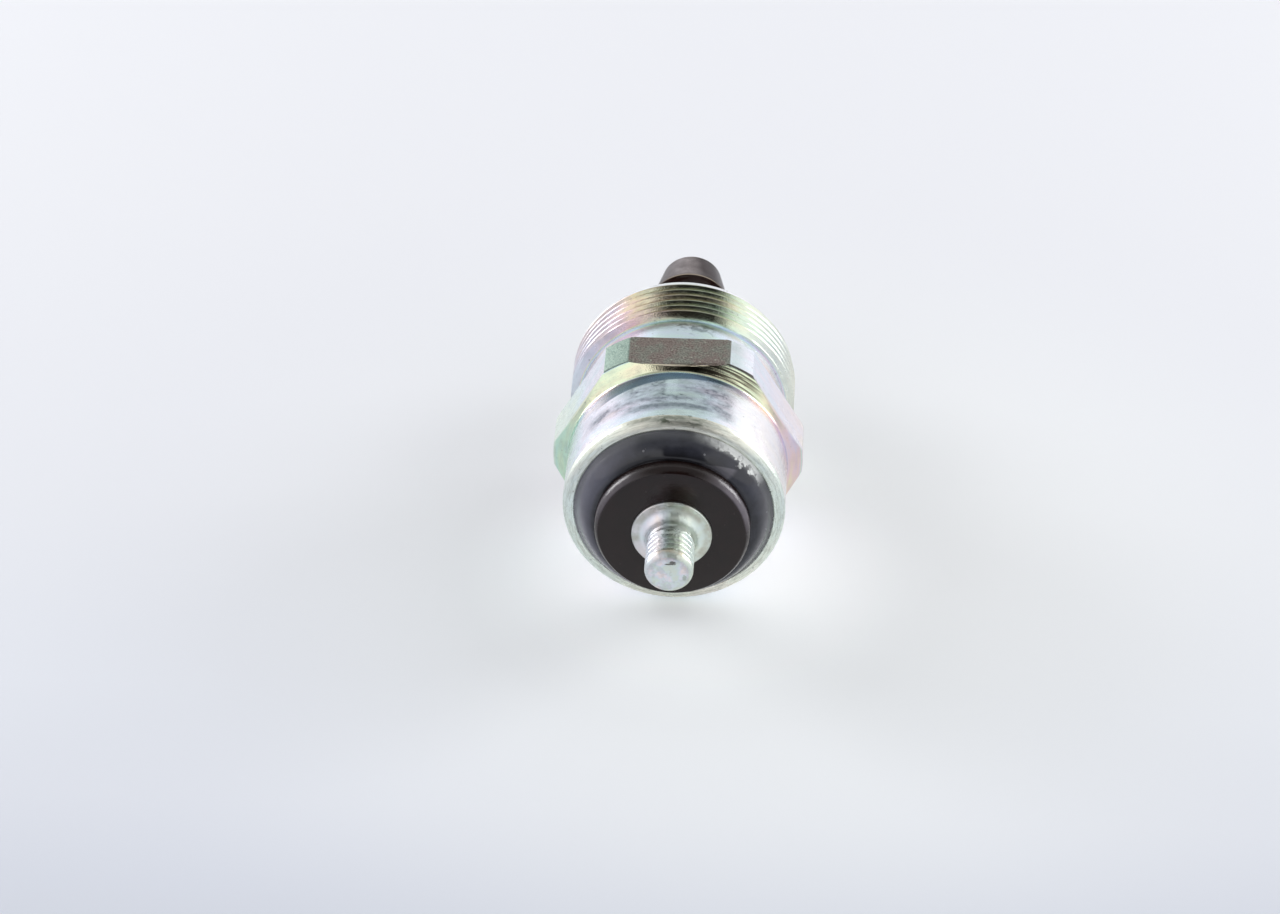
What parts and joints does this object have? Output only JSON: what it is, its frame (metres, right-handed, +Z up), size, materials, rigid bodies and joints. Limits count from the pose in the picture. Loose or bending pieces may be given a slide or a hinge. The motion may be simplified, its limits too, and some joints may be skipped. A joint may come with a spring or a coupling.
{
  "type": "fuel shutoff solenoid",
  "caption": "Screw-in fuel shutoff solenoid: hexagon body with a fine thread, rolled can, stud terminal on a moulded boss, and a sprung valve plunger with a tapered nose.",
  "frame": {"origin": "on the axis, in the shoulder face of the hexagon that seats against the pump head", "axes": "+Y along the axis towards the valve plunger, -Y towards the terminal stud, +Z up out of one flat of the hexagon"},
  "size_m": [0.0264, 0.0547, 0.024],
  "materials": {
    "zinc_plated_steel": "yellow iridescent zinc plate",
    "stud_zinc": "clear zinc plate",
    "black_moulding": "satin thermoset moulding",
    "slate_compound": "glossy cast resin",
    "blackened_steel": "blackened, oily",
    "black_rubber": "matt",
    "bare_steel": "machined",
    "brass": "drawn",
    "natural_nylon": "moulded",
    "enamelled_copper": "enamelled wire",
    "winding_tape": "polyester film",
    "spring_steel": "drawn wire"
  },
  "bodies": {
    "solenoid_body": {"housing": "zinc_plated_steel", "sealing_compound": "slate_compound", "terminal_insulator": "black_moulding", "terminal_stud": "stud_zinc", "stud_backing_washer": "brass", "insulating_washer": "black_moulding", "yoke_plate": "bare_steel", "pole_core": "bare_steel", "guide_sleeve": "brass", "coil_bobbin": "natural_nylon", "coil_winding": "enamelled_copper", "winding_tape": "winding_tape", "feed_lead": "enamelled_copper", "lead_bush": "natural_nylon", "ground_lead": "enamelled_copper", "nose_ring": "black_rubber", "yoke_ring": "black_rubber", "return_spring": "spring_steel"},
    "plunger": {"armature": "blackened_steel", "plunger_seal": "black_rubber"}
  },
  "joints": [
    {"name": "plunger_slide", "type": "slide", "parent": "solenoid_body", "child": "plunger", "axis": [0, -1, 0], "range_m": [0, 0.005], "stiffness_N_per_m": 600, "springref_m": -0.0005, "deforming": ["return_spring"]}
  ]
}
